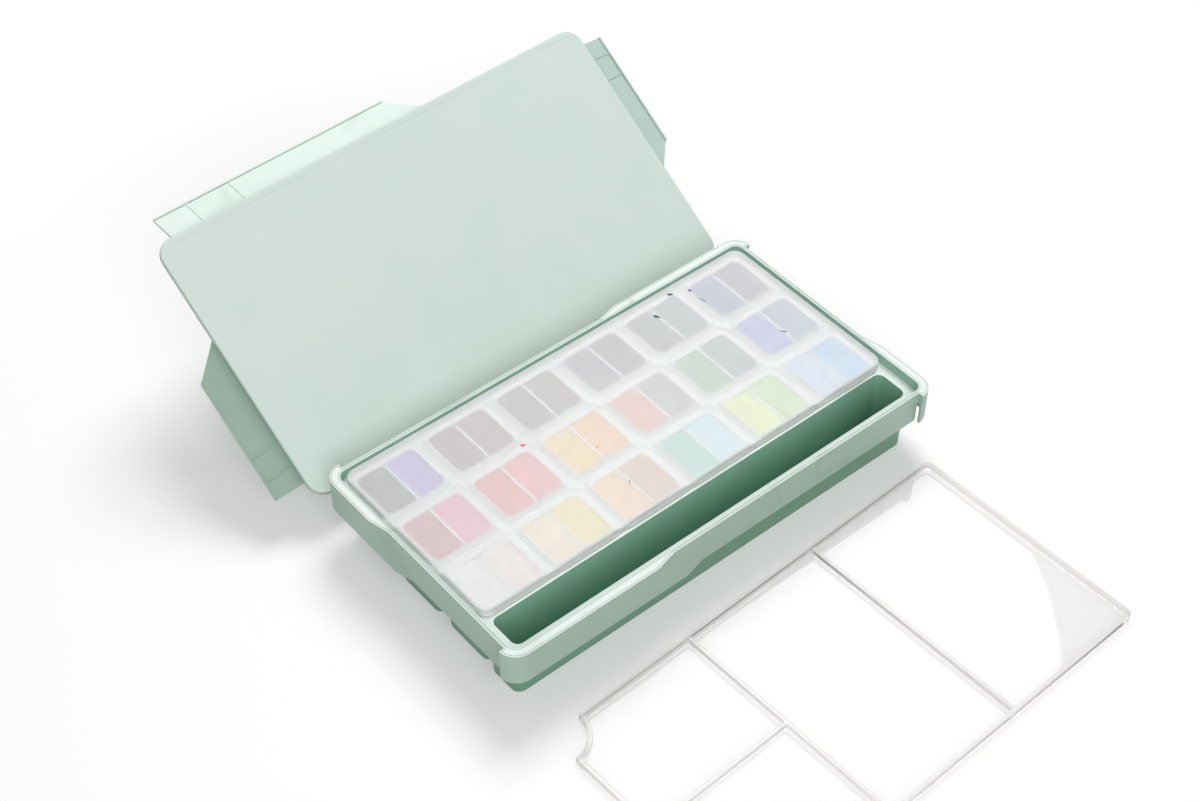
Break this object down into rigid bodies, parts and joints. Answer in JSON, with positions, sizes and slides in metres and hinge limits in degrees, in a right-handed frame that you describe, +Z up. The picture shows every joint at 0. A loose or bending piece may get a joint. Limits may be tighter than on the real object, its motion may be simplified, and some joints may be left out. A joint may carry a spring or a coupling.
{
  "type": "acrylic paint set",
  "caption": "Moulded paint tray with lift-out twin cups of acrylic paint, frosted cover, brush well, lid with folding flaps and a clear mixing palette.",
  "frame": {"origin": "centre of the flat underside of the brush well, on the surface the tray stands on", "axes": "+X along the tray to the right, +Y from the brush well to the back, +Z up"},
  "size_m": [0.2812, 0.4157, 0.0965],
  "materials": {
    "mint_plastic": "satin moulded polypropylene",
    "frosted_cover": "frosted flexible film",
    "cup_plastic": "translucent moulded polypropylene",
    "clear_plastic": "clear polystyrene",
    "paint_white_and_pale_pink": "acrylic paint, white in the left cell and pale pink in the right",
    "paint_peach_and_yellow": "acrylic paint, peach in the left cell and yellow in the right",
    "paint_orange_and_tan": "acrylic paint, orange in the left cell and tan in the right",
    "paint_turquoise_and_pale_blue": "acrylic paint, turquoise in the left cell and pale blue in the right",
    "paint_lime_yellow_and_lime_green": "acrylic paint, lime yellow in the left cell and lime green in the right",
    "paint_pale_blue_and_sky_blue": "acrylic paint, pale blue in the left cell and sky blue in the right",
    "paint_crimson_and_pink": "acrylic paint, crimson in the left cell and pink in the right",
    "paint_red_and_red_pink": "acrylic paint, red in the left cell and red pink in the right",
    "paint_yellow_and_yellow_orange": "acrylic paint, yellow in the left cell and yellow orange in the right",
    "paint_salmon_and_warm_grey": "acrylic paint, salmon in the left cell and warm grey in the right",
    "paint_green_and_grey_teal": "acrylic paint, green in the left cell and grey teal in the right",
    "paint_periwinkle_and_grey_blue": "acrylic paint, periwinkle in the left cell and grey blue in the right",
    "paint_black_and_lilac": "acrylic paint, black in the left cell and lilac in the right",
    "paint_dark_red_brown_and_red_brown": "acrylic paint, dark red brown in the left cell and red brown in the right",
    "paint_umber_and_brown": "acrylic paint, umber in the left cell and brown in the right",
    "paint_dark_grey_and_black_grey": "acrylic paint, dark grey in the left cell and black grey in the right",
    "paint_dark_green_and_deep_teal": "acrylic paint, dark green in the left cell and deep teal in the right",
    "paint_blue_violet_and_violet": "acrylic paint, blue violet in the left cell and violet in the right"
  },
  "bodies": {
    "tray": {"tray": "mint_plastic"},
    "cover": {"cover": "frosted_cover"},
    "cup_1_1": {"cup_1_1": "cup_plastic", "paint_1_1": "paint_white_and_pale_pink"},
    "cup_1_2": {"cup_1_2": "cup_plastic", "paint_1_2": "paint_peach_and_yellow"},
    "cup_1_3": {"cup_1_3": "cup_plastic", "paint_1_3": "paint_orange_and_tan"},
    "cup_1_4": {"cup_1_4": "cup_plastic", "paint_1_4": "paint_turquoise_and_pale_blue"},
    "cup_1_5": {"cup_1_5": "cup_plastic", "paint_1_5": "paint_lime_yellow_and_lime_green"},
    "cup_1_6": {"cup_1_6": "cup_plastic", "paint_1_6": "paint_pale_blue_and_sky_blue"},
    "cup_2_1": {"cup_2_1": "cup_plastic", "paint_2_1": "paint_crimson_and_pink"},
    "cup_2_2": {"cup_2_2": "cup_plastic", "paint_2_2": "paint_red_and_red_pink"},
    "cup_2_3": {"cup_2_3": "cup_plastic", "paint_2_3": "paint_yellow_and_yellow_orange"},
    "cup_2_4": {"cup_2_4": "cup_plastic", "paint_2_4": "paint_salmon_and_warm_grey"},
    "cup_2_5": {"cup_2_5": "cup_plastic", "paint_2_5": "paint_green_and_grey_teal"},
    "cup_2_6": {"cup_2_6": "cup_plastic", "paint_2_6": "paint_periwinkle_and_grey_blue"},
    "cup_3_1": {"cup_3_1": "cup_plastic", "paint_3_1": "paint_black_and_lilac"},
    "cup_3_2": {"cup_3_2": "cup_plastic", "paint_3_2": "paint_dark_red_brown_and_red_brown"},
    "cup_3_3": {"cup_3_3": "cup_plastic", "paint_3_3": "paint_umber_and_brown"},
    "cup_3_4": {"cup_3_4": "cup_plastic", "paint_3_4": "paint_dark_grey_and_black_grey"},
    "cup_3_5": {"cup_3_5": "cup_plastic", "paint_3_5": "paint_dark_green_and_deep_teal"},
    "cup_3_6": {"cup_3_6": "cup_plastic", "paint_3_6": "paint_blue_violet_and_violet"},
    "palette": {"palette": "clear_plastic"},
    "lid": {"lid_plate": "mint_plastic"},
    "lid_flap_front": {"lid_flap_front": "mint_plastic"},
    "lid_flap_right": {"lid_flap_right": "mint_plastic"},
    "lid_flap_back": {"lid_flap_back": "mint_plastic"},
    "lid_flap_left": {"lid_flap_left": "mint_plastic"}
  },
  "joints": [
    {"name": "cover_lift", "type": "slide", "parent": "tray", "child": "cover", "axis": [0, 0, 1], "range_m": [0, 0.09]},
    {"name": "cup_1_1_lift", "type": "slide", "parent": "tray", "child": "cup_1_1", "axis": [0, 0, 1], "range_m": [0, 0.045]},
    {"name": "cup_1_2_lift", "type": "slide", "parent": "tray", "child": "cup_1_2", "axis": [0, 0, 1], "range_m": [0, 0.045]},
    {"name": "cup_1_3_lift", "type": "slide", "parent": "tray", "child": "cup_1_3", "axis": [0, 0, 1], "range_m": [0, 0.045]},
    {"name": "cup_1_4_lift", "type": "slide", "parent": "tray", "child": "cup_1_4", "axis": [0, 0, 1], "range_m": [0, 0.045]},
    {"name": "cup_1_5_lift", "type": "slide", "parent": "tray", "child": "cup_1_5", "axis": [0, 0, 1], "range_m": [0, 0.045]},
    {"name": "cup_1_6_lift", "type": "slide", "parent": "tray", "child": "cup_1_6", "axis": [0, 0, 1], "range_m": [0, 0.045]},
    {"name": "cup_2_1_lift", "type": "slide", "parent": "tray", "child": "cup_2_1", "axis": [0, 0, 1], "range_m": [0, 0.045]},
    {"name": "cup_2_2_lift", "type": "slide", "parent": "tray", "child": "cup_2_2", "axis": [0, 0, 1], "range_m": [0, 0.045]},
    {"name": "cup_2_3_lift", "type": "slide", "parent": "tray", "child": "cup_2_3", "axis": [0, 0, 1], "range_m": [0, 0.045]},
    {"name": "cup_2_4_lift", "type": "slide", "parent": "tray", "child": "cup_2_4", "axis": [0, 0, 1], "range_m": [0, 0.045]},
    {"name": "cup_2_5_lift", "type": "slide", "parent": "tray", "child": "cup_2_5", "axis": [0, 0, 1], "range_m": [0, 0.045]},
    {"name": "cup_2_6_lift", "type": "slide", "parent": "tray", "child": "cup_2_6", "axis": [0, 0, 1], "range_m": [0, 0.045]},
    {"name": "cup_3_1_lift", "type": "slide", "parent": "tray", "child": "cup_3_1", "axis": [0, 0, 1], "range_m": [0, 0.045]},
    {"name": "cup_3_2_lift", "type": "slide", "parent": "tray", "child": "cup_3_2", "axis": [0, 0, 1], "range_m": [0, 0.045]},
    {"name": "cup_3_3_lift", "type": "slide", "parent": "tray", "child": "cup_3_3", "axis": [0, 0, 1], "range_m": [0, 0.045]},
    {"name": "cup_3_4_lift", "type": "slide", "parent": "tray", "child": "cup_3_4", "axis": [0, 0, 1], "range_m": [0, 0.045]},
    {"name": "cup_3_5_lift", "type": "slide", "parent": "tray", "child": "cup_3_5", "axis": [0, 0, 1], "range_m": [0, 0.045]},
    {"name": "cup_3_6_lift", "type": "slide", "parent": "tray", "child": "cup_3_6", "axis": [0, 0, 1], "range_m": [0, 0.045]},
    {"name": "palette_lift", "type": "slide", "parent": "tray", "child": "palette", "axis": [0, 0, 1], "range_m": [0, 0.06]},
    {"name": "lid_lift", "type": "slide", "parent": "tray", "child": "lid", "axis": [0, 0, 1], "range_m": [0, 0.06]},
    {"name": "lid_flap_front_hinge", "type": "hinge", "parent": "lid", "child": "lid_flap_front", "pos_m": [-0.00159, 0.12785, 0.0171], "axis": [0.9995, 0.0305, 0], "range_deg": [-15, 34.3]},
    {"name": "lid_flap_right_hinge", "type": "hinge", "parent": "lid", "child": "lid_flap_right", "pos_m": [0.12085, 0.18754, 0.05525], "axis": [-0.0252, 0.8257, 0.5635], "range_deg": [-15.7, 74.3]},
    {"name": "lid_flap_back_hinge", "type": "hinge", "parent": "lid", "child": "lid_flap_back", "pos_m": [-0.005, 0.23965, 0.0934], "axis": [-0.9995, -0.0305, 0], "range_deg": [-31.9, 58.1]},
    {"name": "lid_flap_left_hinge", "type": "hinge", "parent": "lid", "child": "lid_flap_left", "pos_m": [-0.12743, 0.17996, 0.05525], "axis": [0.0252, -0.8257, -0.5635], "range_deg": [-14.6, 75.4]}
  ],
  "couplings": [
    {"joint": "cup_1_1_lift", "follows": "cover_lift", "ratio": 0.5},
    {"joint": "cup_1_2_lift", "follows": "cover_lift", "ratio": 0.5},
    {"joint": "cup_1_3_lift", "follows": "cover_lift", "ratio": 0.5},
    {"joint": "cup_1_4_lift", "follows": "cover_lift", "ratio": 0.5},
    {"joint": "cup_1_5_lift", "follows": "cover_lift", "ratio": 0.5},
    {"joint": "cup_1_6_lift", "follows": "cover_lift", "ratio": 0.5},
    {"joint": "cup_2_1_lift", "follows": "cover_lift", "ratio": 0.5},
    {"joint": "cup_2_2_lift", "follows": "cover_lift", "ratio": 0.5},
    {"joint": "cup_2_3_lift", "follows": "cover_lift", "ratio": 0.5},
    {"joint": "cup_2_4_lift", "follows": "cover_lift", "ratio": 0.5},
    {"joint": "cup_2_5_lift", "follows": "cover_lift", "ratio": 0.5},
    {"joint": "cup_2_6_lift", "follows": "cover_lift", "ratio": 0.5},
    {"joint": "cup_3_1_lift", "follows": "cover_lift", "ratio": 0.5},
    {"joint": "cup_3_2_lift", "follows": "cover_lift", "ratio": 0.5},
    {"joint": "cup_3_3_lift", "follows": "cover_lift", "ratio": 0.5},
    {"joint": "cup_3_4_lift", "follows": "cover_lift", "ratio": 0.5},
    {"joint": "cup_3_5_lift", "follows": "cover_lift", "ratio": 0.5},
    {"joint": "cup_3_6_lift", "follows": "cover_lift", "ratio": 0.5}
  ]
}
